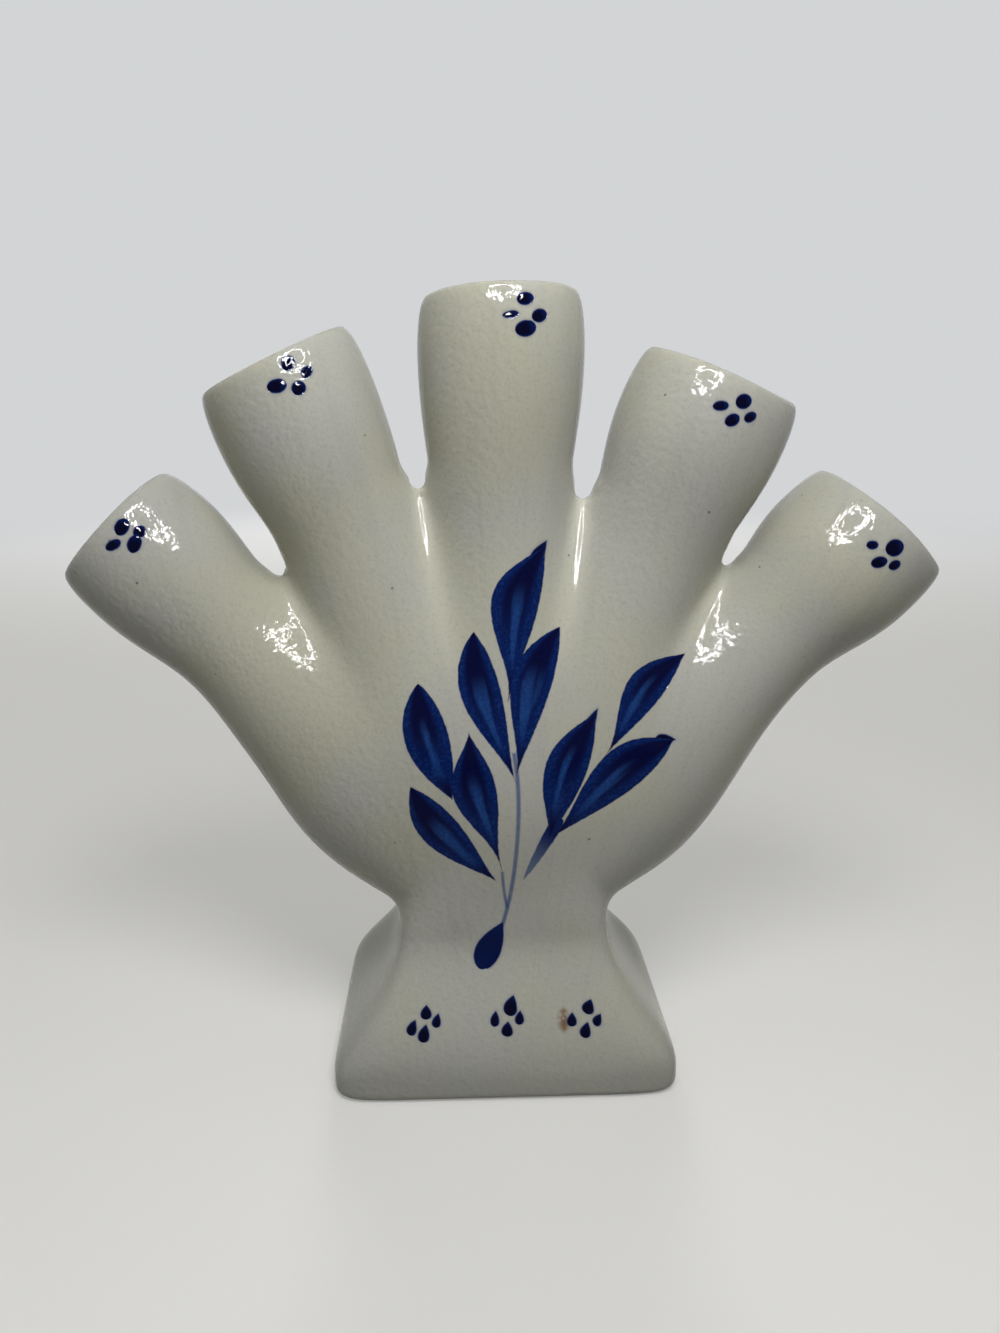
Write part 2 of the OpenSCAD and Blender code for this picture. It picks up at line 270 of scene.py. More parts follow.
def below_palm(palm):
    """The skin from the waist up to the row of palm points, drawn in to meet the waist."""
    angle = np.arctan2(palm[:, 1], palm[:, 0])
    low = waist(angle)
    t = np.linspace(0, 1, ROOT_ROWS + 1)[:, None]
    rise = mix(climb(low), climb(palm), t)
    way = np.stack([np.cos(angle) * np.cos(rise), np.sin(angle) * np.cos(rise), np.sin(rise)], axis=-1)
    first_guess = np.full(rise.shape, WAIST_D / 4)
    pull = np.linalg.norm(low - HEART, axis=-1) - reach(HEART, unit(low - HEART), first_guess[0])
    skin = HEART + way * (reach(HEART, way, first_guess) + pull * (1 - t) ** 2)[..., None]
    skin[0] = low
    return skin[:-1]


def inner_body(i, skin):
    """The inner skin, one wall inside the outer one."""
    inner = skin - WALL * outward(skin)
    inner[0] = waist(np.arctan2(skin[0, :, 1], skin[0, :, 0]), WALL)
    middle = FAN + JOINTS[i] * along(TILTS[i])
    inner[-1] = skin[-1] - WALL * unit(skin[-1] - middle)
    return inner


def spread(z, skew):
    """Spread of the foot at height z: 1 at its bottom, 0 at the waist; skew sets how low it flares."""
    share = max(z - FOOT_BAND, 0) / (WAIST_H - FOOT_BAND)
    low, here, high = COVE_SOFT ** skew, (share + COVE_SOFT) ** skew, (1 + COVE_SOFT) ** skew
    return 1 - ease((here - low) / (high - low))


def foot_ring(angle, z, inset):
    """Points round the foot at height z, inset from its outside."""
    t = spread(z, SIDE_SKEW)
    half_w = mix(WAIST_W, FOOT_W, t) / 2 - inset
    half_d = mix(WAIST_D, FOOT_D, spread(z, FRONT_SKEW)) / 2 - inset
    square = mix(WAIST_SQUARE, FOOT_SQUARE, math.sqrt(t))
    return ring(angle, outline(angle, half_w, half_d, square), z)


def foot_rows():
    """Heights and insets round the foot's section: waist, cove, bottom edge, seat, inside, waist."""
    rows = [(z, 0.0) for z in np.linspace(WAIST_H, FOOT_BAND, COVE_ROWS + 1)]
    rows += [(z, 0.0) for z in np.linspace(FOOT_BAND, FOOT_ROUND, BAND_ROWS + 1)[1:-1]]
    for turn in np.linspace(np.pi / 2, 0, ROUND_ROWS + 1):
        rows.append((FOOT_ROUND * (1 - math.cos(turn)), FOOT_ROUND * (1 - math.sin(turn))))
    rows += [(0.0, FOOT_WALL - FLOOR_LEDGE), (FLOOR_T, FOOT_WALL - FLOOR_LEDGE)]
    for z in np.linspace(FLOOR_T, WAIST_H, INSIDE_ROWS + 1):
        rows.append((z, mix(WALL, FOOT_WALL, spread(z, SIDE_SKEW))))
    return rows


def tube(i):
    """Finger i above its joint, round the outside, over the lip and down the inside."""
    top, shoulder = LENGTHS[i], LENGTHS[i] - LIP_FALL
    up = np.linspace(JOINTS[i], shoulder, FINGER_ROWS + 1)
    turn = np.linspace(0, np.pi / 2, LIP_ROWS + 1)[1:]
    over = np.linspace(np.pi / 2, np.pi, LIP_ROWS + 1)[1:-1]
    down = np.linspace(top - LIP_TURN, JOINTS[i], FINGER_ROWS + 1)
    lip_r = MOUTH_R[i] - LIP_IN * (1 - np.cos(turn))
    over_r = MOUTH_R[i] - LIP_IN + (LIP_T - LIP_IN) * np.cos(over)
    inner_r = finger_r(i, down) - mix(LIP_T, WALL, ease((top - down) / (top - JOINTS[i])))
    radius = np.concatenate([finger_r(i, up), lip_r, over_r, inner_r])[:, None]
    s = np.concatenate([up, shoulder + LIP_FALL * np.sin(turn), top - LIP_TURN * (1 - np.sin(over)), down])
    angle = np.pi * (1 - np.linspace(0, 2, 2 * COLUMNS[i] + 1))
    way = np.cos(angle)[:, None] * across(TILTS[i]) - np.sin(angle)[:, None] * Y_AXIS
    level, right, front = RIMS[i]
    waver = level + right * np.cos(angle) + front * np.sin(angle)
    rise = waver * ease((s - JOINTS[i]) / (top - JOINTS[i]))[:, None]
    return FAN + (s[:, None] + rise)[..., None] * along(TILTS[i]) + radius[..., None] * way


PIECES = ["foot", "body_front", "body_back"] + ["finger_" + name for name in FINGERS]
# Places of the two materials on each piece
OUTSIDE, INSIDE = 0, 1


def lay(vase, points, piece, side):
    """Lays a sheet of clay: a grid whose rows and columns take the given places."""
    rows, columns = points.shape[0] - 1, points.shape[1] - 1
    grid = bmesh.ops.create_grid(vase, x_segments=columns, y_segments=rows, size=1)["verts"]
    for v in grid:
        row = round((v.co.y + 1) / 2 * rows)
        column = round((v.co.x + 1) / 2 * columns)
        v.co = Vector(points[row, column]) * MM
    for face in {f for v in grid for f in v.link_faces}:
        face[vase.faces.layers.int["piece"]] = PIECES.index(piece)
        face.material_index = side
        face.smooth = True


def join_clay():
    """The whole vase as one closed skin, every face marked with its piece."""
    vase = bmesh.new()
    vase.faces.layers.int.new("piece")
    section = foot_rows()
    foot_edge = COVE_ROWS + BAND_ROWS + ROUND_ROWS
    lip_edge = FINGER_ROWS + 2 * LIP_ROWS
    for i in range(LAST + 1):
        upper = palm_and_fingers(i)
        skin = np.concatenate([below_palm(upper[0]), upper])
        angle = np.arctan2(skin[0, :, 1], skin[0, :, 0])
        foot = np.stack([foot_ring(angle, z, inset) for z, inset in section])
        for half, piece in [(1, "body_front"), (-1, "body_back")]:
            turn = np.array([1.0, half, 1.0])
            lay(vase, skin * turn, piece, OUTSIDE)
            lay(vase, inner_body(i, skin) * turn, piece, INSIDE)
            lay(vase, foot[:foot_edge + 1] * turn, "foot", OUTSIDE)
            lay(vase, foot[foot_edge:] * turn, "foot", INSIDE)
        finger = tube(i)
        lay(vase, finger[:lip_edge + 1], "finger_" + FINGERS[i], OUTSIDE)
        lay(vase, finger[lip_edge:], "finger_" + FINGERS[i], INSIDE)
    bmesh.ops.remove_doubles(vase, verts=vase.verts, dist=WELD * MM)
    bmesh.ops.recalc_face_normals(vase, faces=vase.faces)
    return vase


def round_webs(places):
    """Presses points out of the round at the bottom of each gap between fingers."""
    for j in range(LAST):
        middle = FAN + VALLEY_WAY[j] * (WEBS[j] / VALLEY_COS[j] + WEB_RISE)
        off = (places - middle) * (1 - Y_AXIS)
        far = np.linalg.norm(off, axis=-1, keepdims=True)
        places = places + off * ((1 + (WEB_ROUND / far) ** WEB_CRISP) ** (1 / WEB_CRISP) - 1)
    return places


def touch_up(vase):
    """Leaves the slight unevenness of hands on the outside, and notes where glaze pools."""
    pool = vase.verts.layers.float.new("pool")
    places = np.array([v.co for v in vase.verts]) / MM
    x, y, z = places.T
    deep = np.clip(pooling(places), 0, 1) * ease((z - POOL_LOW) / (POOL_HIGH - POOL_LOW))
    dents = np.sin(x / DENT_X + DENT_START_X) * np.sin(z / DENT_Z + y / DENT_Y + DENT_START_Z)
    marks = np.sin(x / MARK_X - z / MARK_Z + y / MARK_Y)
    amount = UNEVEN * (dents + MARK_SHARE * marks) * ease((z - FOOT_BAND) / FOOT_BAND)
    for v, depth, push, place in zip(vase.verts, deep, amount, round_webs(places)):
        v[pool] = depth
        if all(f.material_index == OUTSIDE for f in v.link_faces):
            v.co = Vector(place) * MM + v.normal * (push * MM)
    vase.normal_update()
    shading = vase.verts.layers.float_vector.new("shading")
    for v in vase.verts:
        v[shading] = v.normal


def cut_out(vase, piece):
    """A copy of one piece's share of the skin, with its joints closed."""
    part = vase.copy()
    mark = part.faces.layers.int["piece"]
    others = [f for f in part.faces if f[mark] != PIECES.index(piece)]
    bmesh.ops.delete(part, geom=others, context="FACES")
    rim = [e for e in part.edges if e.is_boundary]
    for face in bmesh.ops.bridge_loops(part, edges=rim)["faces"]:
        face.material_index = INSIDE
        face.smooth = True
    bmesh.ops.recalc_face_normals(part, faces=part.faces)
    return part


def soften(mesh):
    """Shades a piece as the whole skin is shaded, so that no joint shows, except at sharp edges."""
    soft = np.zeros(3 * len(mesh.vertices))
    mesh.attributes["shading"].data.foreach_get("vector", soft)
    soft = soft.reshape(-1, 3)
    loops = []
    for polygon in mesh.polygons:
        flat = np.array(polygon.normal)
        for corner in polygon.vertices:
            loops.append(soft[corner] if soft[corner] @ flat > SHARP else flat)
    mesh.normals_split_custom_set(loops)
    for name in ["shading", "piece"]:
        mesh.attributes.remove(mesh.attributes[name])


def add_object(name, data):
    """A new object in the scene."""
    made = bpy.data.objects.new(name, data)
    bpy.context.scene.collection.objects.link(made)
    return made


def part_off(vase, piece, outside, inside):
    """Makes one piece from its share of the skin, and stands it in for its node."""
    part = cut_out(vase, piece)
    mesh = bpy.data.meshes.new("glazed_" + piece)
    part.to_mesh(mesh)
    part.free()
    soften(mesh)
    mesh.materials.append(outside)
    mesh.materials.append(inside)
    made = add_object("glazed_" + piece, mesh)
    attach(made, "root")
    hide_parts(piece)


# Finishes, with sizes in millimetres as for the form


def srgb(red, green, blue):
    """A colour written as a screen shows it, as the linear colour that shaders take."""
    shares = [c / 255 for c in (red, green, blue)]
    return tuple(c / 12.92 if c <= 0.04045 else ((c + 0.055) / 1.055) ** 2.4 for c in shares) + (1.0,)


class Tone:
    """A value that changes over a surface: arithmetic on it adds Math nodes."""

    def __init__(self, nodes, socket):
        self.nodes = nodes
        self.socket = socket

    def math(self, operation, *others):
        values = dict(enumerate((self,) + others))
        return self.nodes.node("ShaderNodeMath", {"operation": operation}, values)

    def __add__(self, other):
        return self.math("ADD", other)

    __radd__ = __add__

    def __mul__(self, other):
        return self.math("MULTIPLY", other)

    __rmul__ = __mul__

    def __sub__(self, other):
        return self.math("SUBTRACT", other)

    def __rsub__(self, other):
        return self.nodes.node("ShaderNodeMath", {"operation": "SUBTRACT"}, {0: other, 1: self})

    def __truediv__(self, other):
        return self.math("DIVIDE", other)

    def __pow__(self, other):
        return self.math("POWER", other)

    def __abs__(self):
        return self.math("ABSOLUTE")

    def most(self, other):
        return self.math("MAXIMUM", other)

    def least(self, other):
        return self.math("MINIMUM", other)

    def share(self):
        """Held between 0 and 1."""
        return self.most(0.0).least(1.0)

    def rise(self, low, high):
        """0 up to low, 1 from high on, and a smooth step between; it falls where low is above high."""
        return self.nodes.node("ShaderNodeMapRange", {"interpolation_type": "SMOOTHSTEP"},
                               {"Value": self, "From Min": low, "From Max": high})

    def output(self, name):
        """Another output of the same node."""
        return Tone(self.nodes, self.socket.node.outputs[name])


# Sockets of a Mix node that mixes colours: share, colour under, colour over, and result
MIX_SHARE, MIX_UNDER, MIX_OVER, MIX_RESULT = 0, 6, 7, 2


class Nodes:
    """A node tree in the making: adds nodes and hands back their outputs as tones."""

    def __init__(self, tree):
        self.tree = tree

    def node(self, kind, settings=None, sockets=None, out=0):
        """Adds a node: first its settings, then the values or links of its sockets."""
        node = self.tree.nodes.new(kind)
        for key, value in (settings or {}).items():
            setattr(node, key, value)
        for key, value in (sockets or {}).items():
            self.feed(node.inputs[key], value)
        return Tone(self, node.outputs[out])

    def feed(self, socket, value):
        """Links a tone to a socket, or sets a plain value on it."""
        if isinstance(value, Tone):
            self.tree.links.new(value.socket, socket)
        else:
            socket.default_value = value

    def seen(self):
        """1 where the camera or a reflection looks straight at something, 0 for its bounced light."""
        straight = self.node("ShaderNodeLightPath", out="Is Camera Ray")
        return straight.most(straight.output("Is Glossy Ray")).most(straight.output("Is Transmission Ray"))


class Finish(Nodes):
    """A material in the making, with the place on the piece as x, y and z in millimetres."""

    def __init__(self, name):
        self.material = bpy.data.materials.new(name)
        self.material.use_nodes = True
        super().__init__(self.material.node_tree)
        self.shader = self.tree.nodes["Principled BSDF"]
        self.spot = self.node("ShaderNodeTexCoord", out="Object")
        split = self.node("ShaderNodeSeparateXYZ", {}, {0: self.spot})
        self.x = split.output("X") / MM
        self.y = split.output("Y") / MM
        self.z = split.output("Z") / MM

    def give(self, values):
        """Feeds sockets of the shader by their names."""
        for name, value in values.items():
            self.feed(self.shader.inputs[name], value)

    def noise(self, size, detail=2.0):
        """Cloudy noise whose patches are about size millimetres across."""
        return self.node("ShaderNodeTexNoise", {}, {
            "Vector": self.spot, "Scale": 1 / (size * MM), "Detail": detail})

    def streaks(self, aside, ahead, layer):
        """Noise stretched along a stroke; aside and ahead count its patches, layer picks one pattern."""
        place = self.node("ShaderNodeCombineXYZ", {}, {0: aside, 1: ahead, 2: layer})
        return self.node("ShaderNodeTexNoise", {}, {"Vector": place, "Scale": 1.0})

    def blend(self, share, under, over):
        """One colour over another, by a share from 0 to 1."""
        colours = {MIX_SHARE: share, MIX_UNDER: under, MIX_OVER: over}
        return self.node("ShaderNodeMix", {"data_type": "RGBA"}, colours, out=MIX_RESULT)


# Colours of the glaze over the grey body, of its specks and stain, of the cobalt from thick to thin,
# and of the bare clay
GREY = srgb(175, 175, 167)
WARM = srgb(178, 177, 160)
# Grey of the runs in the glaze, also laid low on the foot as painted shade
RUN_GREY_AND_FOOT_SHADE = srgb(163, 163, 156)
DUST = srgb(136, 135, 126)
PALE = srgb(196, 195, 178)
SPECK = srgb(84, 74, 60)
RUST = srgb(112, 82, 46)
INK = srgb(0, 0, 30)
NAVY = srgb(0, 2, 48)
COBALT = srgb(0, 26, 86)
WASH = srgb(26, 64, 126)
THIN = srgb(92, 108, 134)
SAND = srgb(168, 156, 136)
CLAY = srgb(150, 138, 118)

# The level about which noise wanders
NOISE_MIDDLE = 0.5
# Clouds in the glaze: size, fineness, and levels between which grey turns warm
CLOUD, CLOUD_DETAIL, CLOUD_LEVELS = 32.0, 3.0, (0.38, 0.66)
# Runs in the glaze spread from a point this far under the foot; their count, length, levels and tint
RUN_FROM, RUN_COUNT, RUN_LENGTH = 40.0, 55.0, 45.0
RUN_LEVELS, RUN_TINT = (0.5, 0.78), 0.3
# Greyer glaze and painted shade, darker towards the bottom of the foot
FOOT_GREY_AND_SHADE = 0.7
# Pooled glaze: levels and tint, and how far it fills the orange peel
POOL_LEVELS, POOL_TINT = (0.1, 0.9), 0.6
POOL_FILL_LEVELS, POOL_FILL = (0.1, 0.7), 0.8
# Dusty grain: size, levels and tint
GRAIN, GRAIN_LEVELS, GRAIN_TINT = 0.75, (0.48, 0.72), 0.18
# Iron specks in glaze and in bare clay: distance apart, size and share of places that hold one, and tint
GLAZE_SPECKS, GLAZE_SPECK_TINT = (5.0, 0.45, 0.16), 0.75
CLAY_SPECKS, CLAY_SPECK_TINT = (2.6, 0.5, 0.3), 0.7
# Dark core of a speck as a share of it, and softness of the choice among places
SPECK_CORE, SPECK_CHOICE = 0.4, 0.02
# Height of the orange peel, and size and fineness of its pits
PEEL, PIT, PIT_DETAIL = 0.14, 1.6, 1.0
# Strength of reflections in the glaze, 0.5 is plain glass; its least roughness, and what clouds add
GLOSS = 0.06
GLAZE_ROUGH, CLOUD_ROUGH = 0.04, 0.06
# Bare clay: size, fineness and height of its grit, size of its patches, least roughness and what grit adds
GRIT, GRIT_DETAIL, GRIT_HEIGHT = 0.9, 3.0, 0.25
CLAY_PATCH = 9.0
CLAY_ROUGH, GRIT_ROUGH = 0.8, 0.1


def specks(finish, spacing, size, share):
    """Fine iron specks: a round spot in a share of the cells of a cell pattern."""
    cells = finish.node("ShaderNodeTexVoronoi", {}, {"Vector": finish.spot, "Scale": 1 / (spacing * MM)})
    chosen = finish.node("ShaderNodeSeparateXYZ", {}, {0: cells.output("Color")})
    spots = cells.rise(size / spacing, SPECK_CORE * size / spacing)
    return spots * chosen.rise(1 - share, 1 - share + SPECK_CHOICE)


def salt_glaze(finish):
    """Colour, roughness and orange-peel height of the glaze without cobalt; its colour holds painted shade low
    on the foot.
    """
    finish.give({"Specular IOR Level": GLOSS})
    pool = finish.node("ShaderNodeAttribute", {"attribute_name": "pool"}, out="Fac")
    cloud = finish.noise(CLOUD, CLOUD_DETAIL)
    grain = finish.noise(GRAIN)
    fan_out = finish.x / (finish.z + RUN_FROM) * RUN_COUNT
    runs = finish.streaks(fan_out, finish.z / RUN_LENGTH, finish.y / RUN_LENGTH)
    colour = finish.blend(cloud.rise(*CLOUD_LEVELS), GREY, WARM)
    colour = finish.blend(runs.rise(*RUN_LEVELS) * RUN_TINT, colour, RUN_GREY_AND_FOOT_SHADE)
    # Painted shade: the glaze turns greyer and darker towards the bottom of the foot
    colour = finish.blend(finish.z.rise(WAIST_H, FOOT_BAND) * FOOT_GREY_AND_SHADE, colour, RUN_GREY_AND_FOOT_SHADE)
    colour = finish.blend(pool.rise(*POOL_LEVELS) * POOL_TINT, colour, PALE)
    colour = finish.blend(grain.rise(*GRAIN_LEVELS) * GRAIN_TINT, colour, DUST)
    colour = finish.blend(specks(finish, *GLAZE_SPECKS) * GLAZE_SPECK_TINT, colour, SPECK)
    peel = finish.noise(PIT, PIT_DETAIL) * (1 - POOL_FILL * pool.rise(*POOL_FILL_LEVELS))
    return colour, GLAZE_ROUGH + CLOUD_ROUGH * cloud, peel


def lay_glaze(finish, colour, roughness, height, bump):
    """Feeds the shader: colour, roughness, and relief of bump millimetres."""
    normal = finish.node("ShaderNodeBump", {}, {"Height": height, "Strength": 1.0, "Distance": bump * MM})
    finish.give({"Base Color": colour, "Roughness": roughness, "Normal": normal})
    return finish.material


def plain_glaze(name):
    """Salt glaze with no paint on it."""
    finish = Finish(name)
    return lay_glaze(finish, *salt_glaze(finish), PEEL)


def bare_stoneware():
    """Unglazed clay under the vase and in its foot, gritty and matt."""
    finish = Finish("bare_stoneware")
    grit = finish.noise(GRIT, GRIT_DETAIL)
    colour = finish.blend(finish.noise(CLAY_PATCH), SAND, CLAY)
    colour = finish.blend(specks(finish, *CLAY_SPECKS) * CLAY_SPECK_TINT, colour, SPECK)
    return lay_glaze(finish, colour, CLAY_ROUGH + GRIT_ROUGH * grit, grit, GRIT_HEIGHT)


# Leaves of the spray, each one stroke: base and tip as (across, up), half width, bow to its right,
# and its swell towards base and tip
LEAVES = [
    ((0.3, 94.0), (9.3, 128.8), 5.4, -3.7, (2.1, 1.3)),
    ((2.0, 76.3), (-7.1, 109.6), 4.5, -2.1, (1.65, 0.9)),
    ((2.1, 77.5), (12.5, 110.4), 4.6, -2.8, (1.75, 1.0)),
    ((-12.2, 72.2), (-19.7, 98.4), 5.0, -1.6, (1.1, 0.85)),
    ((-0.8, 53.5), (-8.5, 88.0), 5.0, -1.8, (2.7, 1.65)),
    ((-1.9, 50.9), (-21.7, 75.1), 4.6, -1.7, (1.55, 0.95)),
    ((22.6, 81.9), (41.8, 103.5), 4.4, -2.8, (1.9, 1.3)),
    ((9.8, 62.3), (20.5, 91.8), 4.8, -2.2, (1.45, 1.2)),
    ((10.6, 62.6), (38.4, 84.4), 5.3, -2.4, (1.6, 0.95)),
]
# Flicks of the brush at leaf tips, and the tail under the right-hand leaves
FLICKS = [
    ((5.9, 124.4), (9.5, 129.6), 1.5),
    ((18.4, 88.5), (20.8, 92.6), 0.9),
    ((34.3, 84.9), (39.1, 84.6), 1.2),
]
TAIL = ((4.0, 51.5), (12.2, 67.5), 1.6)
TAIL_SWELL = (0.8, 0.2)
# Stems: points from top to bottom, and the half width of the line
MAIN_STEM = [
    (1.7, 83.0), (2.4, 76.2), (2.9, 70.0), (2.5, 63.6),
    (2.1, 56.8), (1.4, 49.8), (0.4, 44.3), (-1.2, 38.3),
]
SIDE_STEM = [(-0.9, 53.8), (-0.5, 49.0), (0.3, 44.0)]
STEMS = [(MAIN_STEM, 0.48), (SIDE_STEM, 0.36)]
# Drop at the foot of the stem, its swell, and how loaded the brush was
STEM_FOOT = ((-6.3, 28.8), (-0.7, 40.2), 3.05)
STEM_FOOT_SWELL, STEM_FOOT_LOAD = (0.55, 1.0), 0.45
# Dots on each finger: the two ends of each and its half width
DOTS = {
    "far_left": [((-83.7, 131.7), (-82.0, 135.0), 1.55), ((-80.2, 131.3), (-78.3, 133.3), 1.3),
                 ((-86.3, 128.7), (-83.1, 130.5), 1.1), ((-80.9, 127.9), (-79.7, 131.6), 1.5)],
    "left": [((-46.0, 165.8), (-44.8, 168.8), 1.45), ((-42.4, 164.4), (-40.9, 166.7), 1.1),
             ((-49.8, 162.2), (-45.7, 163.1), 1.5), ((-44.0, 160.9), (-42.6, 163.6), 1.5)],
    "middle": [((2.2, 179.9), (5.8, 180.4), 1.35), ((-0.8, 176.7), (2.7, 177.2), 0.8),
               ((5.4, 176.4), (8.6, 177.4), 1.4), ((1.9, 173.8), (6.3, 174.7), 1.7)],
    "right": [((43.8, 158.6), (47.2, 158.8), 1.1), ((48.7, 159.2), (52.3, 160.0), 1.6),
              ((46.5, 155.1), (49.7, 156.4), 1.35), ((50.8, 155.8), (53.6, 156.9), 1.1)],
    "far_right": [((79.6, 128.9), (82.2, 129.1), 1.0), ((83.8, 127.9), (88.0, 128.8), 1.9),
                  ((80.7, 124.9), (84.4, 125.6), 1.3), ((84.8, 124.1), (87.6, 125.0), 1.15)],
}
DOT_SWELL = (0.5, 0.5)
# Drops on the foot: round end, tip and half width
DROPS = [
    ((-19.1, 19.1), (-18.9, 21.9), 1.35), ((-22.9, 16.2), (-21.5, 19.1), 1.2),
    ((-16.9, 17.5), (-16.1, 20.2), 1.1), ((-19.9, 14.7), (-19.0, 18.2), 1.4),
    ((0.4, 19.4), (1.7, 23.4), 1.65), ((-3.0, 17.3), (-2.6, 20.4), 1.1),
    ((2.8, 17.6), (3.2, 20.4), 1.1), ((-0.2, 15.3), (0.3, 18.3), 1.4),
    ((18.8, 19.4), (20.1, 22.2), 1.5), ((15.2, 17.0), (15.5, 19.8), 1.2),
    ((20.7, 17.1), (22.3, 19.3), 1.1), ((18.0, 14.7), (19.1, 17.8), 1.35),
]
DROP_SWELL = (0.5, 1.0)
# Iron stain beside the right-hand drops
STAIN = ((13.5, 16.2), (13.4, 20.5), 1.1)

# Least half width by which a place across a stroke is measured
LEAST_HALF = 0.05
# Softness of a painted edge; size of its unevenness, and its amount on leaves, tails and drops
EDGE_SOFT = 0.18
RAGGED, LEAF_RAGGED, TAIL_RAGGED, DROP_RAGGED = 1.3, 0.18, 0.2, 0.1
# Depth of paint over which its gloss sets in, and how much of the roughness and the peel it takes away
GLOSS_DEPTH, PAINT_SMOOTH, PAINT_FILL = (-0.1, 0.3), 0.4, 0.9
# Height of a loaded drop over the glaze, and how far in from its edge it swells
BEAD, BEAD_SWELL = 0.12, 1.5
# Depths from back to front between which the painting sets in, so that it stays on the front
FRONT_DEPTHS = (2.0, -2.0)


def brush(finish, base, tip, half, bow, swell):
    """A stroke laid from base to tip: depth inside its edge, share along it, place across it, half width."""
    run = np.subtract(tip, base)
    length = float(np.hypot(*run))
    ux, uz = (float(c) for c in run / length)
    dx, dz = finish.x - base[0], finish.z - base[1]
    u = (dx * ux + dz * uz) / length
    v = dx * uz - dz * ux
    t = u.share()
    low, high = swell
    peak = low / (low + high)
    width = t ** low * (1 - t) ** high / (peak ** low * (1 - peak) ** high)
    off = v - bow * width
    half_here = half * width
    depth = half_here - abs(off) - abs(u - t) * length
    return depth, t, off, half_here


def ragged(finish, depth, amount):
    """The edge of a loaded brush on rough glaze, uneven by amount millimetres."""
    return depth + (finish.noise(RAGGED) - NOISE_MIDDLE) * (2 * amount)


def paint_over(finish, under, paint, depth):
    """Lays paint over the glaze where depth is positive, with a soft edge."""
    return finish.blend(depth.rise(-EDGE_SOFT, EDGE_SOFT), under, paint)


# A leaf's paint: streaks counted across and along it, size of its grain, and levels and tint of the grain
LEAF_STREAKS_ACROSS, LEAF_STREAKS_ALONG = 1.5, 1.4
LEAF_GRAIN, LEAF_GRAIN_LEVELS, LEAF_GRAIN_TINT = 0.7, (0.42, 0.75), 0.45
# Flame of thin cobalt in its middle: how far it drifts aside, shares across and along, tint and grain
FLAME_DRIFT, FLAME_ACROSS = 1.4, (0.4, 0.08)
FLAME_START, FLAME_END = (0.14, 0.4), (0.76, 0.54)
FLAME_TINT, FLAME_GRAIN = 0.8, 1.2
# Thick cobalt: shares across, towards tip and base, depth and share of the dark edge, tint and grain
THICK_ACROSS, THICK_TIP, THICK_BASE = (0.85, 0.35), (0.2, 0.7), (0.3, 0.05)
THICK_EDGE, THICK_EDGE_SHARE = (0.3, 0.0), 0.5
THICK_TINT, THICK_GRAIN = 0.95, 0.5


def leaf(finish, under, base, tip, half, bow, swell):
    """One leaf: cobalt lies thick from its tip down two bands, and thin in a flame between them."""
    depth, t, off, half_here = brush(finish, base, tip, half, bow, swell)
    aside = off / half_here.most(LEAST_HALF)
    drift = finish.streaks(aside * LEAF_STREAKS_ACROSS, t * LEAF_STREAKS_ALONG, base[0] + tip[1])
    grain = finish.noise(LEAF_GRAIN)
    flecks = grain - NOISE_MIDDLE
    from_flame = abs(aside + (drift - NOISE_MIDDLE) * FLAME_DRIFT)
    flame = from_flame.rise(*FLAME_ACROSS) * t.rise(*FLAME_START) * t.rise(*FLAME_END)
    thick = abs(aside).rise(*THICK_ACROSS) * t.rise(*THICK_TIP).most(t.rise(*THICK_BASE))
    thick = thick.most(depth.rise(*THICK_EDGE) * THICK_EDGE_SHARE) + flecks * THICK_GRAIN
    paint = finish.blend(grain.rise(*LEAF_GRAIN_LEVELS) * LEAF_GRAIN_TINT, COBALT, WASH)
    paint = finish.blend((thick * THICK_TINT).share(), paint, NAVY)
    paint = finish.blend((flame * FLAME_TINT + flame * flecks * FLAME_GRAIN).share(), paint, WASH)
    depth = ragged(finish, depth, LEAF_RAGGED)
    return paint_over(finish, under, paint, depth), depth


# A stem's line: bends of its curve, size and levels of its watery patches, softness and least cover
STEM_BENDS, WATERY, WATERY_LEVELS = 4, 2.5, (0.35, 0.7)
STEM_SOFT, STEM_COVER = 0.3, 0.6


def stem(finish, under, points, half):
    """A thin line of watery cobalt whose middle follows a curve through the given points."""
    across_points, up_points = zip(*points)
    curve = np.polyfit(up_points, across_points, min(STEM_BENDS, len(points) - 1))
    middle = float(curve[0])
    for factor in curve[1:]:
        middle = middle * finish.z + float(factor)
    depth = half - abs(finish.x - middle)
    depth = depth.least(finish.z - min(up_points)).least(max(up_points) - finish.z)
    thin = finish.noise(WATERY)
    paint = finish.blend(thin.rise(*WATERY_LEVELS), WASH, THIN)
    cover = depth.rise(-STEM_SOFT, STEM_SOFT) * (STEM_COVER + (1 - STEM_COVER) * thin)
    return finish.blend(cover, under, paint), depth


# Shares along a tail between which thin cobalt turns full
TAIL_FILLS = (0.15, 0.8)


def tail(finish, under, base, tip, half):
    """The dragged end of a stroke, thin and watery at its base."""
    depth, t, _, _ = brush(finish, base, tip, half, 0.0, TAIL_SWELL)
    depth = ragged(finish, depth, TAIL_RAGGED)
    paint = finish.blend(t.rise(*TAIL_FILLS), THIN, COBALT)
    return paint_over(finish, under, paint, depth), depth


# A drop: depth and tint of its bleeding edge, and where it is loaded, in from its edge and along it
HALO_DEPTH, HALO_TINT = (-1.0, 0.2), 0.2
LOADED_DEPTH, LOADED_ALONG = (0.05, 0.6), (1.1, 0.55)


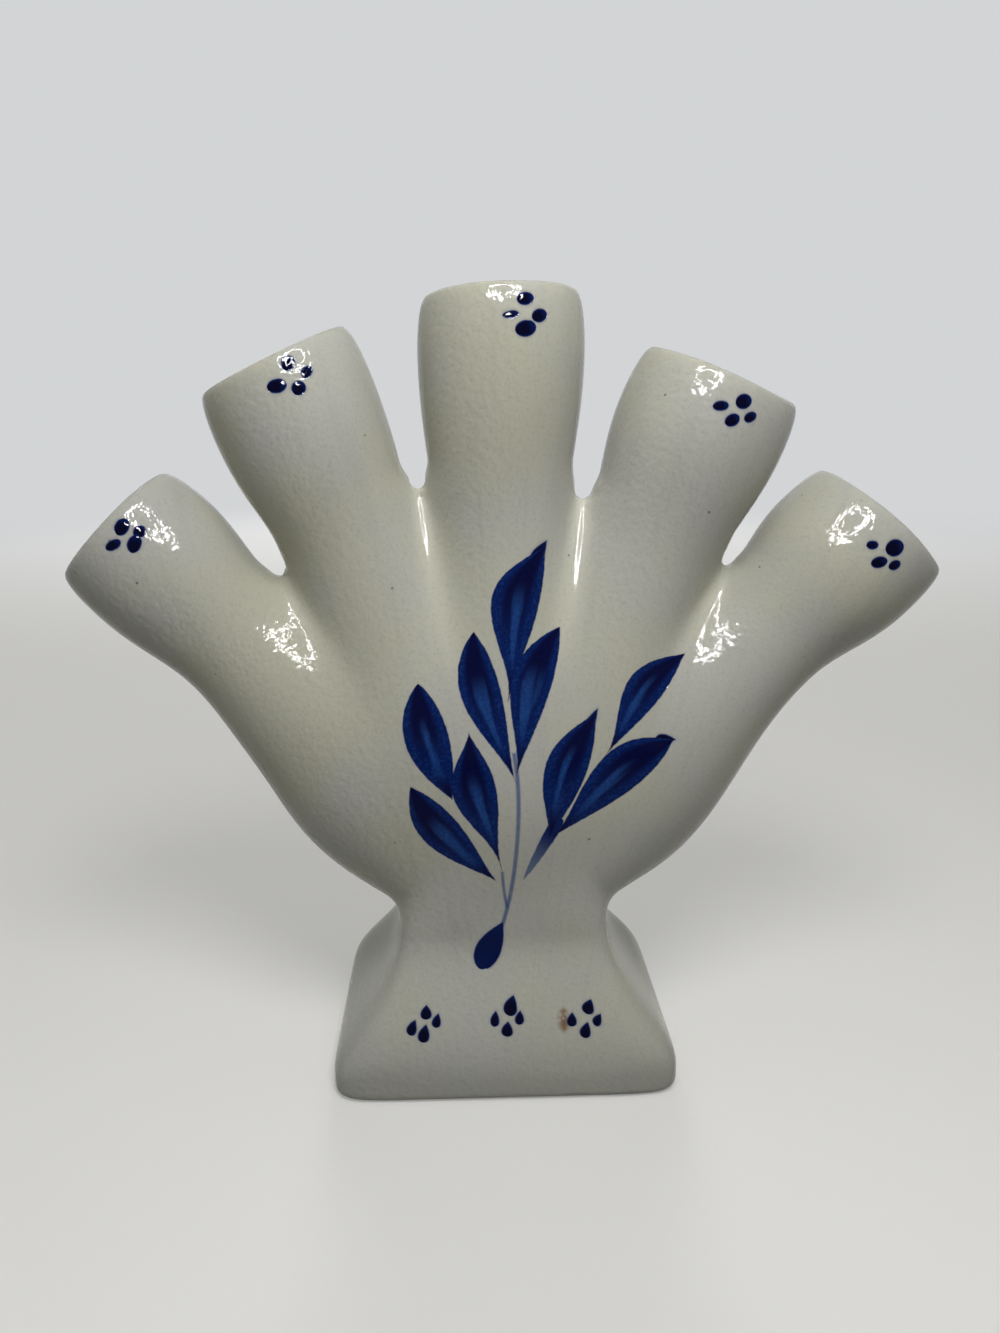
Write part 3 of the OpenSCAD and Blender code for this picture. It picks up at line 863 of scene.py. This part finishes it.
def drop(finish, under, base, tip, half, swell=DROP_SWELL, load=1.0):
    """A touch of the brush, nearly black where it is fully loaded, with a faint bleeding edge."""
    depth, t, _, _ = brush(finish, base, tip, half, 0.0, swell)
    depth = ragged(finish, depth, DROP_RAGGED)
    halo = finish.blend(depth.rise(*HALO_DEPTH) * HALO_TINT, under, WASH)
    loaded = depth.rise(*LOADED_DEPTH) * t.rise(*LOADED_ALONG) * load
    paint = finish.blend(loaded, COBALT, INK)
    return paint_over(finish, halo, paint, depth), depth


# A stain: depth over which it sets in, size and levels of its patches, and tint
STAIN_DEPTH, STAIN_PATCH, STAIN_LEVELS, STAIN_TINT = (-1.2, 1.0), 1.6, (0.2, 0.5), 0.9


def stain(finish, under, base, tip, half):
    """A spot where iron bled brown through the glaze; it leaves the gloss as it is."""
    depth, _, _, _ = brush(finish, base, tip, half, 0.0, DOT_SWELL)
    bleed = depth.rise(*STAIN_DEPTH) * finish.noise(STAIN_PATCH).rise(*STAIN_LEVELS)
    return finish.blend(bleed * STAIN_TINT, under, RUST), depth - half


def painted(name, strokes):
    """Salt glaze with strokes on its front, laid in order; each is a function and its values."""
    finish = Finish(name)
    colour, roughness, height = salt_glaze(finish)
    under = colour
    cover = None
    for stroke, *values in strokes:
        under, depth = stroke(finish, under, *values)
        cover = depth if cover is None else cover.most(depth)
    front = finish.y.rise(*FRONT_DEPTHS)
    colour = finish.blend(front, colour, under)
    bead = cover.rise(0.0, BEAD_SWELL) * front * (BEAD / PEEL)
    cover = cover.rise(*GLOSS_DEPTH) * front
    roughness = roughness * (1 - PAINT_SMOOTH * cover)
    height = height * (1 - PAINT_FILL * cover) + bead
    return lay_glaze(finish, colour, roughness, height, PEEL)


spray = [(stem, *values) for values in STEMS]
spray += [(drop, *STEM_FOOT, STEM_FOOT_SWELL, STEM_FOOT_LOAD), (tail, *TAIL)]
spray += [(drop, *values) for values in FLICKS]
spray += [(leaf, *values) for values in LEAVES]
foot_marks = [(stain, *STAIN), (stem, *STEMS[0]), (drop, *STEM_FOOT, STEM_FOOT_SWELL, STEM_FOOT_LOAD)]
foot_marks += [(drop, *values) for values in DROPS]

glaze_inside = plain_glaze("glaze_inside")
bare_clay = bare_stoneware()

vase = join_clay()
touch_up(vase)
part_off(vase, "foot", painted("foot_glaze", foot_marks), bare_clay)
part_off(vase, "body_front", painted("palm_glaze", spray), glaze_inside)
part_off(vase, "body_back", plain_glaze("back_glaze"), glaze_inside)
for name in FINGERS:
    dots = [(drop, *values, DOT_SWELL) for values in DOTS[name]]
    part_off(vase, "finger_" + name, painted("glaze_" + name, dots), glaze_inside)
vase.free()
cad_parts["foot_floor"].data.materials.clear()
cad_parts["foot_floor"].data.materials.append(bare_clay)

# Camera at the photograph's place in metres and degrees, for a frame of 1000 by 1333, with its focal
# length in pixels of that frame
FRAME_LONG, FOCAL = 1333, 1001
CAMERA_PLACE, CAMERA_LIFT, CAMERA_TURN = (-0.0099, -0.2366, 0.1568), 75.9, -2.27
SENSOR_W, NEAREST = 36, 0.01


def set_camera():
    """The camera that sees the vase as the photograph does."""
    camera = add_object("camera", bpy.data.cameras.new("camera"))
    camera.location = CAMERA_PLACE
    camera.rotation_euler = (math.radians(CAMERA_LIFT), 0, math.radians(CAMERA_TURN))
    camera.data.sensor_width = SENSOR_W
    camera.data.lens = SENSOR_W * FOCAL / FRAME_LONG
    camera.data.clip_start = NEAREST
    bpy.context.scene.camera = camera


# The floor as it is seen, as it lights the vase, and the glow that lifts it where it is seen
FLOOR_PALE = srgb(196, 195, 191)
FLOOR_BOUNCE = srgb(146, 145, 141)
FLOOR_GLOW = srgb(130, 130, 129)
NO_GLOW = srgb(0, 0, 0)
# Its radius in metres, its sides, and the distances in millimetres between which it fades away
FLOOR_R, FLOOR_SIDES, FLOOR_FADE = 1.8, 64, (450, 1700)
# Backdrop behind it, and colour and strength of the even light from all round
BACKDROP = srgb(210, 212, 214)
ALL_ROUND, ALL_ROUND_STRENGTH = srgb(255, 255, 255), 0.29
# Lamps: places in metres and what they are turned to, sizes, and power in watts
LAMP_AIM = Vector((0.0, 0.0, 0.1))
KEY_PLACE, KEY_SIZE, KEY_POWER = (0.025, -0.2, 0.36), 0.16, 0.76
BACK_PLACE, BACK_SIZE, BACK_POWER = (0.0, 1.6, 0.55), 0.6, 12.0
RING_PLACE, RING_R, RING_WIDTH, RING_POWER = (0.005, -0.2, 0.36), 0.08, 0.016, 8.0
RING_LAMPS = 16


def lay_floor():
    """A wide matt floor that fades into the backdrop, and throws a little light up at the vase."""
    finish = Finish("pale_floor")
    looked_at = finish.seen()
    finish.give({
        "Base Color": finish.blend(looked_at, FLOOR_BOUNCE, FLOOR_PALE),
        "Emission Color": finish.blend(looked_at, NO_GLOW, FLOOR_GLOW),
        "Emission Strength": 1.0,
        "Roughness": 1.0,
        "Specular IOR Level": 0.0,
    })
    far = (finish.x * finish.x + finish.y * finish.y) ** 0.5
    laid = Tone(finish, finish.shader.outputs[0])
    clear = finish.node("ShaderNodeBsdfTransparent")
    both = finish.node("ShaderNodeMixShader", {}, {0: far.rise(*FLOOR_FADE), 1: laid, 2: clear})
    finish.feed(finish.tree.nodes["Material Output"].inputs["Surface"], both)
    mesh = bpy.data.meshes.new("floor")
    sheet = bmesh.new()
    bmesh.ops.create_circle(sheet, cap_ends=True, segments=FLOOR_SIDES, radius=FLOOR_R)
    sheet.to_mesh(mesh)
    sheet.free()
    mesh.materials.append(finish.material)
    floor = add_object("floor", mesh)


def hang_lamp(name, place, face, shape, size, power):
    """A soft lamp at place, turned by the rotation face, of the given width and height."""
    lamp = add_object(name, bpy.data.lights.new(name, "AREA"))
    lamp.data.shape = shape
    lamp.data.size, lamp.data.size_y = size
    lamp.data.energy = power
    lamp.location = place
    lamp.rotation_euler = face.to_euler()
    return lamp


def facing_vase(place):
    """The turn of a lamp at place towards the middle of the vase."""
    return (LAMP_AIM - Vector(place)).to_track_quat("-Z", "Y")


def hang_soft(name, place, size, power):
    """A round soft lamp turned to the middle of the vase; it leaves no highlight."""
    lamp = hang_lamp(name, place, facing_vase(place), "ELLIPSE", (size, size), power)
    lamp.visible_glossy = False


def hang_ring(place, radius, width, power):
    """The ring that shows in the glaze as highlights: short lamps end to end round a circle."""
    face = facing_vase(place)
    length = 2 * math.pi * radius / RING_LAMPS
    for k in range(RING_LAMPS):
        turn = face @ Quaternion((0, 0, 1), 2 * math.pi * k / RING_LAMPS)
        spot = Vector(place) + turn @ Vector((radius, 0, 0))
        lamp = hang_lamp("ring_%d" % k, spot, turn, "RECTANGLE", (width, length), power / RING_LAMPS)
        lamp.visible_diffuse = False


def light_world():
    """Even light from all round, and a pale backdrop where the camera or a reflection looks past the floor."""
    world = bpy.data.worlds.new("studio")
    bpy.context.scene.world = world
    world.use_nodes = True
    sky = Nodes(world.node_tree)
    even = sky.tree.nodes["Background"]
    sky.feed(even.inputs["Color"], ALL_ROUND)
    sky.feed(even.inputs["Strength"], ALL_ROUND_STRENGTH)
    back = sky.node("ShaderNodeBackground", {}, {"Color": BACKDROP})
    both = sky.node("ShaderNodeMixShader", {}, {0: sky.seen(), 1: Tone(sky, even.outputs[0]), 2: back})
    sky.feed(sky.tree.nodes["World Output"].inputs["Surface"], both)


set_camera()
lay_floor()
hang_soft("key", KEY_PLACE, KEY_SIZE, KEY_POWER)
hang_soft("back", BACK_PLACE, BACK_SIZE, BACK_POWER)
hang_ring(RING_PLACE, RING_R, RING_WIDTH, RING_POWER)
light_world()
bpy.context.scene.view_settings.view_transform = "Standard"
